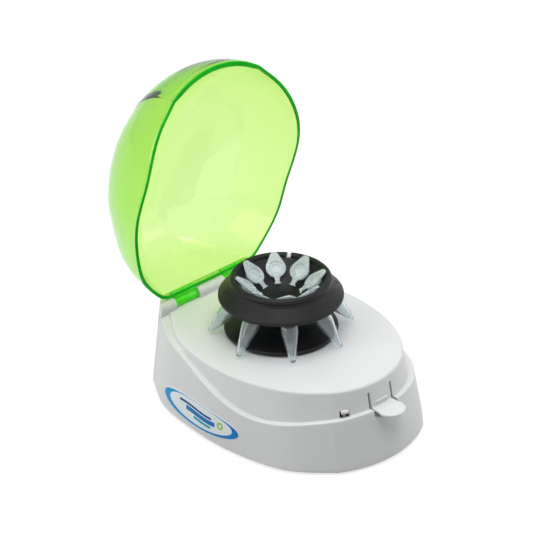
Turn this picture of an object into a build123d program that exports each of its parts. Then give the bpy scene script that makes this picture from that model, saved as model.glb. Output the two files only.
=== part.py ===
from build123d import *
import math
import os

# Mini centrifuge with an open dome lid. Millimetres, +Z up, feet on z = 0.
# Shapes are built about the rotor axis (x = 0, y = 0). The front is -Y and the hinge is at +Y.
# The whole model is moved by FRAME_SHIFT at the end, so that the box of the open model is centred.
FRAME_SHIFT = -11.8

# Plan outlines, right half. corner is the rear corner's centre x, radius and turn in degrees, and the side
# points run from the rear to the crease, where the rounded nose begins.
BOTTOM = dict(z=1.5, rear=72.5, corner=(42.0, 8.0, 62.0), crease=(38.0, -88.0), nose=-99.0,
              side=[(62.6, 44.0), (67.6, 20.0), (69.3, -11.8), (65.6, -42.0), (56.0, -68.0)])
TOP = dict(z=57.0, rear=72.0, corner=(34.0, 8.0, 62.0), crease=(34.0, -76.5), nose=-87.3,
           side=[(54.8, 44.0), (62.9, 18.0), (67.2, -11.8), (60.6, -39.0), (47.6, -62.5)])
DECK_FOOT = dict(z=24.0, rear=69.0, corner=(33.6, 8.0, 62.0), crease=(34.6, -79.2), nose=-90.4,
                 side=[(55.4, 43.0), (63.3, 18.0), (65.6, -11.8), (60.4, -40.0), (48.6, -64.5)])
DECK_TOP = dict(z=50.4, rear=68.0, corner=(30.4, 8.0, 62.0), crease=(31.0, -75.0), nose=-85.0,
                side=[(51.4, 42.0), (59.6, 16.0), (61.3, -9.0), (55.4, -40.0), (42.6, -63.5)])
LID_PLAN = dict(z=30.0, rear=76.0, corner=(20.0, 22.0, 55.0), crease=(36.0, -80.6), nose=-91.5,
                side=[(57.5, 41.0), (65.0, 14.0), (68.0, -11.8), (64.0, -37.6), (51.4, -64.7)])

# Side profile of the seam between the lower housing and the lid, as (y, z)
SEAM = [(110.0, 50.2), (64.0, 49.4), (42.0, 48.0), (14.0, 44.2), (-11.8, 36.6), (-38.0, 30.0), (-65.0, 31.8),
        (-92.0, 35.8), (-112.0, 38.6)]
WALL = 3.0
SKIN = 2.6

# Lid dome: an egg-plan dome with an elliptic side profile, cut off flat at the rear, and its hinge
LID_TOP = 111.5
LID_WAIST_Z = 36.0
LID_CENTRE_Y = 30.0
LID_REAR = 62.2
LID_SKIN = 2.3
LID_GAP = 0.3
LID_REAR_BOTTOM = 51.2
LID_OPEN = 92.0
HINGE_Y = 67.3
HINGE_Z = 52.5
HINGE_LUG_R = 4.5
KNUCKLE_R = 3.2
KNUCKLE_X = (11.5, 30.5)
KNUCKLE_GAP = 0.4
PIN_R = 1.25
PIN_PLAY = 0.05
RISER_HALF = 46.0
RISER_BACK = 74.0
RISER_FOOT = 46.0
RISER_TOP = 57.0

# Latch tongue in the front wall, hung from its top edge
TONGUE_HALF = 8.7
TONGUE_SLOT = 1.1
TONGUE_TOP = 45.2
TONGUE_BOTTOM = 33.5
TONGUE_THICK = 2.4
TAB_RADIUS = 9.2
TAB_CENTRE_Y = -94.9
TAB_THICK = 1.7
TAB_WELL = 30.0
NIB_HALF = 4.8
NIB_Z = 37.8
NIB_OUT = 0.6

# Lid interlock button in its window, left of the latch
BUTTON_X = -25.6
BUTTON_HALF = 2.4
BUTTON_FRONT = -83.8
BUTTON_BACK = -79.6
BUTTON_LOW = 36.2
BUTTON_TOP = 38.3
BUTTON_WELL = 33.0
STEM_Y = -81.2
STEM_BOTTOM = 23.6

# Rotor: height of its parts, and the tubes that lie along its fixed angle
TUBE_COUNT = 8
TUBE_FIRST = 10.3
TUBE_DOWN = 50.0
CAP_TOP_R = 19.5
CAP_TOP_Z = 83.0
TUBE_LENGTH = 40.0
TUBE_R = 5.4
TUBE_BORE_PLAY = 0.05
TUBE_WALL = 0.9
CAP_R = 6.4
CAP_PLATE = 1.2
COLLAR_R = 6.1
COLLAR_T = 1.4
BRIM_R = 39.2
BRIM_Z = 74.4
FLANGE_R = 35.9
FLANGE_Z = 51.7
BEAD_R = 29.6
BEAD_TUBE = 2.2
BEAD_Z = 86.0
ROTOR_NOTCH_TURN = 36.0
SPINDLE_R = 4.0
SPINDLE_PLAY = 0.03
SPINDLE_TOP = 67.0
SPINDLE_SHOULDER = 52.6

# Inside of the base
WALL_PLAY = 0.02
DECK_HOLE_R = 9.0
STEM_HOLE_R = 1.5
BOSS_R = 3.6
POST_R = 3.8
SCREW_R = 1.3
PLATE_T = 2.4
MOTOR_R = 16.0
MOTOR_BOTTOM = 8.0
MOTOR_TOP = 40.0
MOTOR_PLATE_T = 2.0
SHAFT_R = 1.5
FOOT_R = 7.0
FOOT_T = 3.0
FEET = [(46.0, 50.0), (-46.0, 50.0), (38.0, -62.0), (-38.0, -62.0)]
BOSSES = [(50.0, 30.0), (-50.0, 30.0), (44.0, -46.0), (-44.0, -46.0)]
MOTOR_POSTS = [(22.0, 15.0), (-22.0, 15.0), (22.0, -15.0), (-22.0, -15.0)]
MOTOR_SCREWS = [(11.0, 0.0), (-11.0, 0.0)]
BOARD = dict(x=(-26.0, 26.0), y=(-66.0, -32.0), low=7.0, high=8.6)
BOARD_SCREWS = [(22.5, -35.5), (-22.5, -35.5), (22.5, -62.5), (-22.5, -62.5)]
JACK_Z = 17.0
JACK_BORE_R = 2.75
JACK_NOSE_R = 4.0
BADGE_CENTRE = (4.6, 14.8)
BADGE_SIZE = (36.8, 9.1)
BADGE_TILT = -1.7
BADGE_T = 0.35


def side_normals(points):
    """Inward normals of a run of points, from the line between each point's neighbours."""
    normals = []
    for before, after in zip(points[:-2], points[2:]):
        dx, dy = after[0] - before[0], after[1] - before[1]
        length = math.hypot(dx, dy)
        normals.append((dy / length, -dx / length))
    return normals


def outline(plan, inset=0.0, scale=1.0, centre_y=0.0, z=None):
    """Closed face of a plan outline, moved in by inset, then scaled about (0, centre_y)."""
    corner_x, corner_r, degrees = plan["corner"]
    turn = math.radians(degrees)
    radius = corner_r - inset
    corner = (corner_x, plan["rear"] - corner_r)
    start = (corner[0], corner[1] + radius)
    middle = (corner[0] + radius * math.sin(turn / 2), corner[1] + radius * math.cos(turn / 2))
    end = (corner[0] + radius * math.sin(turn), corner[1] + radius * math.cos(turn))
    outer_end = (corner[0] + corner_r * math.sin(turn), corner[1] + corner_r * math.cos(turn))
    nose = (0.0, plan["nose"])
    run = [outer_end] + plan["side"] + [plan["crease"], nose]
    moved = [(x + nx * inset, y + ny * inset) for (x, y), (nx, ny) in zip(run[1:-1], side_normals(run))]
    height = plan["z"] if z is None else z

    def place(point, side=1.0):
        return (side * point[0] * scale, centre_y + (point[1] - centre_y) * scale, height)

    nose_in = (0.0, plan["nose"] + inset)
    edges = [Line(place(start, -1), place(start))]
    edges.append(ThreePointArc(place(start), place(middle), place(end)))
    lead = (math.cos(turn), -math.sin(turn), 0)
    right = [place(end)] + [place(p) for p in moved]
    edges.append(Spline(*right, tangents=[lead, unit(right[-2], right[-1])]))
    edges.append(ThreePointArc(place(moved[-1]), place(nose_in), place(moved[-1], -1)))
    left = [place(p, -1) for p in reversed(moved)] + [place(end, -1)]
    edges.append(Spline(*left, tangents=[unit(left[0], left[1]), (math.cos(turn), math.sin(turn), 0)]))
    edges.append(ThreePointArc(place(end, -1), place(middle, -1), place(start, -1)))
    return make_face(edges)


def unit(a, b):
    """Direction from a to b."""
    return tuple((Vector(*b) - Vector(*a)).normalized())


def tapered(bottom, top, inset=0.0, low=None, high=None):
    """Solid between two plan outlines, with straight sides."""
    return loft([outline(bottom, inset, z=low), outline(top, inset, z=high)], ruled=True)


def under_seam(raise_by=0.0, depth=80.0):
    """Everything below the seam, as a block across the whole width."""
    points = [(y, z + raise_by) for y, z in SEAM]
    seam = Plane.YZ * Spline(*points)
    ends = [points[-1], (points[-1][0], -depth), (points[0][0], -depth), points[0]]
    rest = Plane.YZ * Polyline(*ends)
    return extrude(make_face([seam, rest]), amount=100, dir=(1, 0, 0), both=True)


def block(x, y, z):
    """Box from three (low, high) pairs."""
    size = [b - a for a, b in (x, y, z)]
    middle = [(a + b) / 2 for a, b in (x, y, z)]
    return Pos(*middle) * Box(*size)


def cylinder(radius, low, high, x=0.0, y=0.0):
    """Upright cylinder from z = low to z = high."""
    return Pos(x, y, (low + high) / 2) * Cylinder(radius, high - low)


def cross_cylinder(radius, low, high, y, z):
    """Cylinder along X."""
    return Pos((low + high) / 2, y, z) * Rot(0, 90, 0) * Cylinder(radius, high - low)


def cylinder_y(radius, low, high, z):
    """Cylinder along Y over x = 0."""
    return Pos(0, (low + high) / 2, z) * Rot(90, 0, 0) * Cylinder(radius, high - low)


def lathe(points):
    """Turn a closed (r, z) profile about the Z axis."""
    return revolve(Plane.XZ * make_face(Polyline(*points, close=True)), Axis.Z)


def together(parts):
    """One shape of several separate solids."""
    whole = parts[0]
    for part in parts[1:]:
        whole += part
    return whole


def hinge_bores(radius):
    """The two pin holes through the lugs and knuckles."""
    return [cross_cylinder(radius, s * 21 - 15, s * 21 + 15, HINGE_Y, HINGE_Z) for s in (-1, 1)]


def tongue_window():
    """Opening in the front wall that the latch tongue hangs in."""
    half = TONGUE_HALF + TONGUE_SLOT
    return block((-half, half), (-100, -70), (TONGUE_BOTTOM - 3.0, TONGUE_TOP + 0.2))


def button_window():
    """Well in the ledge and the wall behind it, where the interlock button stands."""
    half = BUTTON_HALF + 0.5
    width, depth = (BUTTON_X - half, BUTTON_X + half), (BUTTON_FRONT - 0.2, BUTTON_BACK + 1)
    return block(width, depth, (BUTTON_WELL, BUTTON_TOP + 0.5))


def lower_housing():
    """Outer wall of the base up to the seam, with the screw bosses."""
    half = TONGUE_HALF + TONGUE_SLOT
    shell = lower_wall() - block((-half, half), (-110, -80), (TAB_WELL, 60))
    shell -= button_window()
    return shell - cylinder_y(JACK_NOSE_R + 0.15, 60, 80, JACK_Z)


def knuckle_pockets():
    """Clearance for the lid's two knuckles and their arms, open towards the front and the top."""
    radius = KNUCKLE_R + KNUCKLE_GAP
    pockets = []
    for side in (-1, 1):
        low, high = sorted((side * (KNUCKLE_X[0] - KNUCKLE_GAP), side * (KNUCKLE_X[1] + KNUCKLE_GAP)))
        pockets.append(cross_cylinder(radius, low, high, HINGE_Y, HINGE_Z))
        pockets.append(block((low, high), (HINGE_Y - 8, HINGE_Y), (HINGE_Z - radius, RISER_TOP + 3)))
        pockets.append(block((low, high), (HINGE_Y - 1, HINGE_Y + radius), (HINGE_Z, RISER_TOP + 3)))
    return pockets


def lower_wall(clearance=0.0):
    """The lower housing's wall as far as the seam, thickened inwards by a clearance."""
    wall = tapered(BOTTOM, TOP) - tapered(BOTTOM, TOP, WALL + clearance, low=-1.0, high=60.0)
    return wall & under_seam()


def hinge_riser():
    """Raised rear edge with the hinge lugs, standing on the deck and behind its sloping wall."""
    riser = block((-RISER_HALF, RISER_HALF), (HINGE_Y, RISER_BACK), (RISER_FOOT, RISER_TOP))
    riser += block((-RISER_HALF, RISER_HALF), (HINGE_Y - HINGE_LUG_R, HINGE_Y + 1), (RISER_FOOT, HINGE_Z))
    riser += cross_cylinder(HINGE_LUG_R, -RISER_HALF, RISER_HALF, HINGE_Y, HINGE_Z)
    riser = riser & tapered(BOTTOM, TOP)
    riser -= tapered(DECK_FOOT, DECK_TOP)
    riser -= lower_wall(WALL_PLAY)
    for pocket in knuckle_pockets() + hinge_bores(PIN_R):
        riser -= pocket
    return riser


def upper_housing():
    """Deck, its sloping wall and the screw posts."""
    under_deck = DECK_TOP["z"] - SKIN
    deck = tapered(DECK_FOOT, DECK_TOP) & tapered(BOTTOM, TOP)
    deck -= tapered(DECK_FOOT, DECK_TOP, SKIN, low=DECK_FOOT["z"] - 1, high=under_deck)
    deck -= lower_wall(WALL_PLAY)
    for pocket in knuckle_pockets():
        deck -= pocket
    deck -= cylinder(DECK_HOLE_R, 40, 60)
    deck -= tongue_window()
    deck -= button_window() + cylinder(STEM_HOLE_R, 20, 34, BUTTON_X, STEM_Y)
    for x, y in BOSSES:
        deck += cylinder(BOSS_R, 1.5 + PLATE_T, under_deck + 0.5, x, y)
        deck -= cylinder(SCREW_R, 0, 16, x, y)
    for x, y in MOTOR_POSTS:
        deck += cylinder(POST_R, MOTOR_TOP + 3.6, under_deck + 0.5, x, y)
        deck -= cylinder(SCREW_R, 30, under_deck - 0.5, x, y)
    return deck


def lid_shell():
    """Hollow dome: sections shrink towards the crown along an ellipse."""
    def dome(inset, top):
        sections = []
        for step in range(10):
            angle = math.radians(step * 9.4)
            height = LID_WAIST_Z + (top - LID_WAIST_Z) * math.sin(angle)
            sections.append(outline(LID_PLAN, inset, math.cos(angle), LID_CENTRE_Y, height))
        lower = extrude(outline(LID_PLAN, inset, z=LID_WAIST_Z), amount=-20)
        return (loft(sections) + lower) & block((-80, 80), (-120, LID_REAR - inset), (0, LID_TOP + 1))

    shell = dome(0.0, LID_TOP) - dome(LID_SKIN, LID_TOP - LID_SKIN)
    shell -= under_seam(LID_GAP)
    half = BUTTON_HALF + 0.6
    shell -= block((BUTTON_X - half, BUTTON_X + half), (BUTTON_FRONT - 0.3, -70), (0, BUTTON_TOP + LID_GAP))
    return shell - block((-70, 70), (52, 80), (0, LID_REAR_BOTTOM))


def lid():
    """Dome with its two hinge knuckles, in the closed position."""
    body = lid_shell()
    for side in (-1, 1):
        low, high = sorted((side * KNUCKLE_X[0], side * KNUCKLE_X[1]))
        arm = block((low, high), (LID_REAR - LID_SKIN, HINGE_Y), (HINGE_Z - 1.3, HINGE_Z + 1.9))
        knuckle = cross_cylinder(KNUCKLE_R, low, high, HINGE_Y, HINGE_Z) + arm
        body += knuckle
    for bore in hinge_bores(PIN_R + PIN_PLAY):
        body -= bore
    return body


def opened(shape):
    """Turn the closed lid up to its stop."""
    turn = Axis((0, HINGE_Y, HINGE_Z), (1, 0, 0))
    return shape.rotate(turn, -LID_OPEN)


def latch():
    """Tongue with its catch nib and thumb tab."""
    tongue = tapered(DECK_FOOT, DECK_TOP) - tapered(DECK_FOOT, DECK_TOP, TONGUE_THICK, low=23.0, high=51.4)
    tongue = tongue & block((-TONGUE_HALF, TONGUE_HALF), (-100, -75), (TONGUE_BOTTOM, TONGUE_TOP))
    nib = tapered(DECK_FOOT, DECK_TOP, -NIB_OUT) - tapered(DECK_FOOT, DECK_TOP, 1.0, low=23.0, high=51.4)
    nib = nib & block((-NIB_HALF, NIB_HALF), (-100, -75), (NIB_Z - 0.8, NIB_Z + 0.8))
    tab = cylinder(TAB_RADIUS, TONGUE_BOTTOM, TONGUE_BOTTOM + TAB_THICK, y=TAB_CENTRE_Y)
    tab -= block((-20, 20), (TAB_CENTRE_Y, 0), (0, 60))
    neck = block((-TONGUE_HALF, TONGUE_HALF), (TAB_CENTRE_Y, -87.0), (TONGUE_BOTTOM, TONGUE_BOTTOM + TAB_THICK))
    return tongue + nib + tab + neck


def button():
    """Interlock button that the closing lid presses."""
    head = block((BUTTON_X - BUTTON_HALF, BUTTON_X + BUTTON_HALF), (BUTTON_FRONT, BUTTON_BACK),
                 (BUTTON_LOW, BUTTON_TOP))
    head = fillet(head.edges().filter_by(Axis.X).group_by(Axis.Y)[0], 0.8)
    return head + cylinder(1.2, STEM_BOTTOM, BUTTON_LOW, BUTTON_X, STEM_Y)


def rotor():
    """Spool with a bowl above, a sloping brim and a lower flange."""
    profile = [(0, 71.5), (11.0, 71.5), (BEAD_R - 1.2, BEAD_Z + 0.4), (BEAD_R + 1.9, BEAD_Z - 1.4),
               (BRIM_R - 0.4, BRIM_Z + 2.2), (BRIM_R, BRIM_Z + 1.6), (BRIM_R, BRIM_Z), (BRIM_R - 1.8, BRIM_Z),
               (29.3, 83.4), (12.9, 69.4), (12.9, 66.0), (15.0, 61.5), (20.0, 58.0), (28.0, 55.3),
               (FLANGE_R - 0.4, FLANGE_Z + 1.9), (FLANGE_R, FLANGE_Z + 1.4), (FLANGE_R, FLANGE_Z),
               (10.0, FLANGE_Z), (10.0, SPINDLE_SHOULDER), (SPINDLE_R, SPINDLE_SHOULDER),
               (SPINDLE_R, SPINDLE_TOP + 0.6), (0, SPINDLE_TOP + 0.6)]
    body = lathe(profile) + Pos(0, 0, BEAD_Z) * Torus(BEAD_R, BEAD_TUBE)
    for index in range(TUBE_COUNT):
        hole = Cylinder(TUBE_R + TUBE_BORE_PLAY, 14, align=(Align.CENTER, Align.CENTER, Align.MAX))
        body -= tube_place(index) * hole
    notch = block((BEAD_R + 0.4, BEAD_R + 3.0), (-1.4, 1.4), (BEAD_Z - 0.6, BEAD_Z + 3.0))
    return body - Rot(0, 0, ROTOR_NOTCH_TURN) * notch


def tube_place(index):
    """Frame of one tube: origin at its cap's top, +Z out along the tube's axis."""
    turn = TUBE_FIRST + index * 360.0 / TUBE_COUNT
    return Rot(0, 0, turn) * Pos(CAP_TOP_R, 0, CAP_TOP_Z) * Rot(0, TUBE_DOWN - 90.0, 0)


def tube_vial(index):
    """Conical 1.5 mL vial, hollow, with its collar."""
    top = -CAP_PLATE
    outer = [(0, -TUBE_LENGTH), (1.2, -TUBE_LENGTH + 0.3), (1.9, -TUBE_LENGTH + 1.4), (TUBE_R, -22.0),
             (TUBE_R, top - COLLAR_T), (COLLAR_R, top - COLLAR_T), (COLLAR_R, top)]
    inner = [(TUBE_R - TUBE_WALL, top), (TUBE_R - TUBE_WALL, -22.0), (1.0, -TUBE_LENGTH + 1.9),
             (0, -TUBE_LENGTH + 1.2)]
    return tube_place(index) * lathe(outer + inner)


def tube_cap(index):
    """Closed cap: recessed plate, plug, thumb tab outwards and folded strap inwards."""
    plug_r = TUBE_R - TUBE_WALL
    cap = lathe([(0, -0.5), (4.4, -0.5), (4.6, 0), (CAP_R, 0), (CAP_R, -CAP_PLATE), (plug_r, -CAP_PLATE),
                 (plug_r, -4.4), (plug_r - 0.8, -4.4), (plug_r - 0.8, -1.4), (0, -1.4)])
    tab = make_face(Polyline((5.0, -4.2), (10.6, -1.7), (10.6, 1.7), (5.0, 4.2), close=True))
    cap += extrude(tab, amount=-CAP_PLATE)
    cap += block((-10.2, -CAP_R + 0.4), (-1.6, 1.6), (-CAP_PLATE, -0.2))
    cap += block((-10.6, -9.8), (-2.2, 2.2), (-2.3, -0.2))
    return tube_place(index) * cap


def spindle_hub():
    """Hub on the motor shaft that the rotor drops onto."""
    points = [(SHAFT_R, 44.0), (6.5, 44.0), (6.5, SPINDLE_SHOULDER), (SPINDLE_R - SPINDLE_PLAY, SPINDLE_SHOULDER),
              (SPINDLE_R - SPINDLE_PLAY, SPINDLE_TOP - 1.0), (SPINDLE_R - 1.0, SPINDLE_TOP), (SHAFT_R, SPINDLE_TOP)]
    return lathe(points)


def motor():
    """Motor can with its front bearing boss, bored for the shaft."""
    can = cylinder(MOTOR_R, MOTOR_BOTTOM, MOTOR_TOP)
    can = fillet(can.edges().group_by(Axis.Z)[0], 2.0)
    can += cylinder(5.0, MOTOR_TOP, MOTOR_TOP + 2.4)
    for x, y in MOTOR_SCREWS:
        can -= cylinder(1.3, 35.5, 50, x, y)
    return can - cylinder(SHAFT_R + 0.03, MOTOR_BOTTOM + 4, 50)


def motor_plate():
    """Plate that hangs the motor under the deck."""
    middle = MOTOR_TOP + MOTOR_PLATE_T / 2
    plate = Pos(0, 0, middle) * extrude(RectangleRounded(54, 40, 6), MOTOR_PLATE_T / 2, both=True)
    plate -= cylinder(5.1, 30, 50)
    for x, y in MOTOR_SCREWS:
        plate -= cylinder(1.4, 30, 50, x, y)
    for x, y in MOTOR_POSTS:
        plate -= cylinder(2.7, 30, 50, x, y)
    return plate


def screws(places, shank, head, driver=0.8):
    """Identical screws as one node. shank and head are (radius, low, high)."""
    parts = []
    for x, y in places:
        screw = cylinder(*shank, x, y) + cylinder(*head, x, y)
        outside = head[1] if head[1] < shank[1] else head[2]
        screw -= Pos(x, y, outside) * (Box(head[0], 0.6, driver) + Box(0.6, head[0], driver))
        parts.append(screw)
    return together(parts)


def dampers():
    """Rubber dampers between the motor plate and the deck posts."""
    low, high = MOTOR_TOP, MOTOR_TOP + MOTOR_PLATE_T
    ring = [(1.4, low - 1.6), (3.8, low - 1.6), (3.8, low), (2.6, low), (2.6, high), (3.8, high),
            (3.8, high + 1.6), (1.4, high + 1.6)]
    return together([Pos(x, y, 0) * lathe(ring) for x, y in MOTOR_POSTS])


def bottom_plate():
    """Floor of the base, with the posts that hold the board, the switch and the power jack."""
    top = 1.5 + PLATE_T
    plate = tapered(BOTTOM, TOP, WALL + 0.4) & block((-90, 90), (-110, 90), (1.5, top))
    plate -= tapered(BOTTOM, TOP) - tapered(BOTTOM, TOP, WALL, low=-1.0, high=60.0)
    for x, y in BOARD_SCREWS:
        plate += cylinder(2.6, top, BOARD["low"], x, y)
        plate -= cylinder(1.1, top, BOARD["low"] + 1, x, y)
    plate += block((BUTTON_X - 5, BUTTON_X + 5), (-82.0, -77.4), (top, 12.0))
    plate += block((-4.0, 4.0), (60.0, 68.0), (top, JACK_Z - 5.5))
    for x, y in FEET:
        plate -= cylinder(3.0, 0, 10, x, y)
    for x, y in BOSSES:
        plate -= cylinder(1.5, 0, 10, x, y)
        plate -= cylinder(3.1, 0, 2.8, x, y)
    return plate


def foot(x, y):
    """Rubber foot with a plug through the floor."""
    pad = cylinder(FOOT_R, 0, 1.5, x, y)
    pad = fillet(pad.edges().group_by(Axis.Z)[0], 0.5)
    return pad + cylinder(3.0, 1.5, 1.5 + PLATE_T + 0.8, x, y)


def circuit_board():
    """Speed control board, drilled for its screws."""
    board = block(BOARD["x"], BOARD["y"], (BOARD["low"], BOARD["high"]))
    for x, y in BOARD_SCREWS:
        board -= cylinder(1.2, 0, 20, x, y)
    return board


def board_chip():
    """Driver chip with its legs."""
    low = BOARD["high"]
    chip = block((-5.0, 5.0), (-52.0, -48.0), (low + 0.3, low + 2.0))
    for index in range(8):
        x = -4.4 + index * 1.25
        chip += block((x - 0.2, x + 0.2), (-53.2, -46.8), (low, low + 0.7))
    return chip


def board_capacitor():
    """Smoothing capacitor."""
    can = cylinder(4.0, BOARD["high"], BOARD["high"] + 11.0, 15.0, -48.0)
    return fillet(can.edges().group_by(Axis.Z)[-1], 0.7)


def lid_switch():
    """Switch under the interlock button."""
    body = block((BUTTON_X - 6.0, BUTTON_X + 6.0), (-82.4, -77.0), (12.0, 20.0))
    return body + cylinder(1.0, 20.0, 21.0, BUTTON_X, STEM_Y)


def power_jack():
    """Round low-voltage inlet in the back wall, with its centre pin."""
    body = block((-5.5, 5.5), (58.0, 69.2), (JACK_Z - 5.5, JACK_Z + 5.5))
    body += cylinder_y(JACK_NOSE_R, 69.0, 72.3, JACK_Z)
    body -= cylinder_y(JACK_BORE_R, 62.5, 80.0, JACK_Z)
    return body + cylinder_y(1.0, 62.0, 71.0, JACK_Z)


def hinge_pin(side):
    """Steel pin through one knuckle and the lugs beside it."""
    return cross_cylinder(PIN_R, side * 21 - 14.8, side * 21 + 14.8, HINGE_Y, HINGE_Z)


def badge():
    """Thin oval badge that follows the left wall."""
    skin = tapered(BOTTOM, TOP, -BADGE_T) - tapered(BOTTOM, TOP)
    oval = Plane.YZ * Pos(*BADGE_CENTRE) * Rot(0, 0, BADGE_TILT) * Ellipse(*BADGE_SIZE)
    return skin & extrude(oval, amount=-100, dir=(1, 0, 0))


def base_nodes():
    """Everything that stays with the base."""
    nodes = {"lower_housing": lower_housing(), "upper_housing": upper_housing()}
    nodes["hinge_riser"] = hinge_riser()
    nodes["bottom_plate"] = bottom_plate()
    for index, (x, y) in enumerate(FEET, 1):
        nodes[f"foot_{index}"] = foot(x, y)
    nodes["housing_screws"] = screws(BOSSES, (1.3, 2.0, 15.0), (3.0, 1.6, 2.7))
    nodes["hinge_pin_left"] = hinge_pin(-1)
    nodes["hinge_pin_right"] = hinge_pin(1)
    nodes["badge"] = badge()
    nodes["motor"] = motor()
    nodes["motor_plate"] = motor_plate()
    nodes["motor_dampers"] = dampers()
    plate_top = MOTOR_TOP + MOTOR_PLATE_T
    nodes["damper_screws"] = screws(MOTOR_POSTS, (1.3, 37.0, 46.5), (3.0, 37.0, MOTOR_TOP - 1.6))
    nodes["motor_screws"] = screws(MOTOR_SCREWS, (1.3, 36.0, plate_top + 1), (2.3, plate_top, plate_top + 1.4))
    nodes["circuit_board"] = circuit_board()
    nodes["board_chip"] = board_chip()
    nodes["board_capacitor"] = board_capacitor()
    nodes["board_screws"] = screws(BOARD_SCREWS, (1.1, 4.5, 9.6), (2.0, BOARD["high"], 10.0))
    nodes["lid_switch"] = lid_switch()
    nodes["power_jack"] = power_jack()
    return nodes


def moving_nodes():
    """Lid, latch, button, spindle, rotor and tubes."""
    nodes = {"lid_dome": opened(lid()), "latch": latch(), "lid_button": button(), "rotor": rotor()}
    nodes["spindle_hub"] = spindle_hub()
    nodes["motor_shaft"] = cylinder(SHAFT_R, MOTOR_BOTTOM + 5, SPINDLE_TOP - 1)
    for index in range(TUBE_COUNT):
        nodes[f"tube_{index + 1}_vial"] = tube_vial(index)
        nodes[f"tube_{index + 1}_cap"] = tube_cap(index)
    return nodes


def main():
    os.makedirs("parts", exist_ok=True)
    nodes = base_nodes() | moving_nodes()
    boxes = [shape.bounding_box() for shape in nodes.values()]
    low = [min(tuple(box.min)[i] for box in boxes) for i in range(3)]
    high = [max(tuple(box.max)[i] for box in boxes) for i in range(3)]
    print("box", [round(v, 2) for v in low], [round(v, 2) for v in high])
    for name, shape in nodes.items():
        export_step(Pos(0, FRAME_SHIFT, 0) * shape, f"parts/{name}.step")


main()
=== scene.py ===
from collections import namedtuple
from functools import lru_cache
import math

import bmesh
import bpy
import numpy as np
from mathutils import Matrix, Vector


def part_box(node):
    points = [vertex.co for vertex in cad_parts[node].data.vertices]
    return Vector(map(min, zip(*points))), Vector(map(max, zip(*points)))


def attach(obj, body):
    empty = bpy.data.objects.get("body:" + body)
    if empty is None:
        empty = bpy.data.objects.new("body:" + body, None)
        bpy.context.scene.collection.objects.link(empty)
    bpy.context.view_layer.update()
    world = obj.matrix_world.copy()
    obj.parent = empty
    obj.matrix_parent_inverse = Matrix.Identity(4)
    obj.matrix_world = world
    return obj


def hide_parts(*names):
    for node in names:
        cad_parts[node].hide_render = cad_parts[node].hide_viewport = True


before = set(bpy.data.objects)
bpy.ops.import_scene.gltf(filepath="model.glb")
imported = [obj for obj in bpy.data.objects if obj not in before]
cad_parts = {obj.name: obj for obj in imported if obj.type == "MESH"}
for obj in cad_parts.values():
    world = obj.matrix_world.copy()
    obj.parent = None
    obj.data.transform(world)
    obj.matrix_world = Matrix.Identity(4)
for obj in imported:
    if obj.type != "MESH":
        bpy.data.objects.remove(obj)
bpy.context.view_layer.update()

# Looks of the mini centrifuge around its CAD model. Lengths are millimetres about the rotor's axis, as
# in the CAD source, and place() turns them into metres in the shared frame.
MM = 0.001
HUB_LOW, HUB_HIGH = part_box("spindle_hub")
AXIS_Y = (HUB_LOW.y + HUB_HIGH.y) / 2

# Plan outlines, right half. corner is the rear corner's centre x, radius and turn in degrees, and the side
# points run from the rear to the crease, where the rounded nose begins.
Plan = namedtuple("Plan", "z rear corner crease nose side")
BOTTOM = Plan(z=1.5, rear=72.5, corner=(42.0, 8.0, 62.0), crease=(38.0, -88.0), nose=-99.0,
              side=((62.6, 44.0), (67.6, 20.0), (69.3, -11.8), (65.6, -42.0), (56.0, -68.0)))
TOP = Plan(z=57.0, rear=72.0, corner=(34.0, 8.0, 62.0), crease=(34.0, -76.5), nose=-87.3,
           side=((54.8, 44.0), (62.9, 18.0), (67.2, -11.8), (60.6, -39.0), (47.6, -62.5)))
DECK_FOOT = Plan(z=24.0, rear=69.0, corner=(33.6, 8.0, 62.0), crease=(34.6, -79.2), nose=-90.4,
                 side=((55.4, 43.0), (63.3, 18.0), (65.6, -11.8), (60.4, -40.0), (48.6, -64.5)))
DECK_TOP = Plan(z=50.4, rear=68.0, corner=(30.4, 8.0, 62.0), crease=(31.0, -75.0), nose=-85.0,
                side=((51.4, 42.0), (59.6, 16.0), (61.3, -9.0), (55.4, -40.0), (42.6, -63.5)))
LID_PLAN = Plan(z=30.0, rear=76.0, corner=(20.0, 22.0, 55.0), crease=(36.0, -80.6), nose=-91.5,
                side=((57.5, 41.0), (65.0, 14.0), (68.0, -11.8), (64.0, -37.6), (51.4, -64.7)))
SEAM = [(110.0, 50.2), (64.0, 49.4), (42.0, 48.0), (14.0, 44.2), (-11.8, 36.6), (-38.0, 30.0), (-65.0, 31.8),
        (-92.0, 35.8), (-112.0, 38.6)]
WALL = 3.0
SKIN = 2.6
LEDGE_GAP = 0.06
FOOT_ROUND = 1.3
SEAM_ROUND = 0.7
DECK_ROUND = 1.3
DECK_HOLE_R = 9.0
MERGE_WITHIN = 2e-6

# Lid
LID_TOP = 111.5
LID_WAIST_Z = 36.0
LID_CENTRE_Y = 30.0
LID_REAR = 62.2
LID_REAR_ROUND = 3.0
LID_SKIN = 2.3
LID_GAP = 0.3
LID_REAR_BOTTOM = 51.2
LID_OPEN = 92.0
LIP_THICKER = 0.8
LIP_DEPTH = 5.5
LID_SKIRT = 14.0
RIM_ROUND = 0.35
RIM_RISE_Y = (26.0, 60.0)
CREASE_EASE = 7.0
HINGE_Y = 67.3
HINGE_Z = 52.5
HINGE_LUG_R = 4.5
KNUCKLE_R = 3.2
KNUCKLE_X = (11.5, 30.5)
KNUCKLE_GAP = 0.4
PIN_R = 1.25
RISER_HALF = 46.0
RISER_BACK = 74.0
RISER_FOOT = 46.0
RISER_TOP = 57.0

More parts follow.
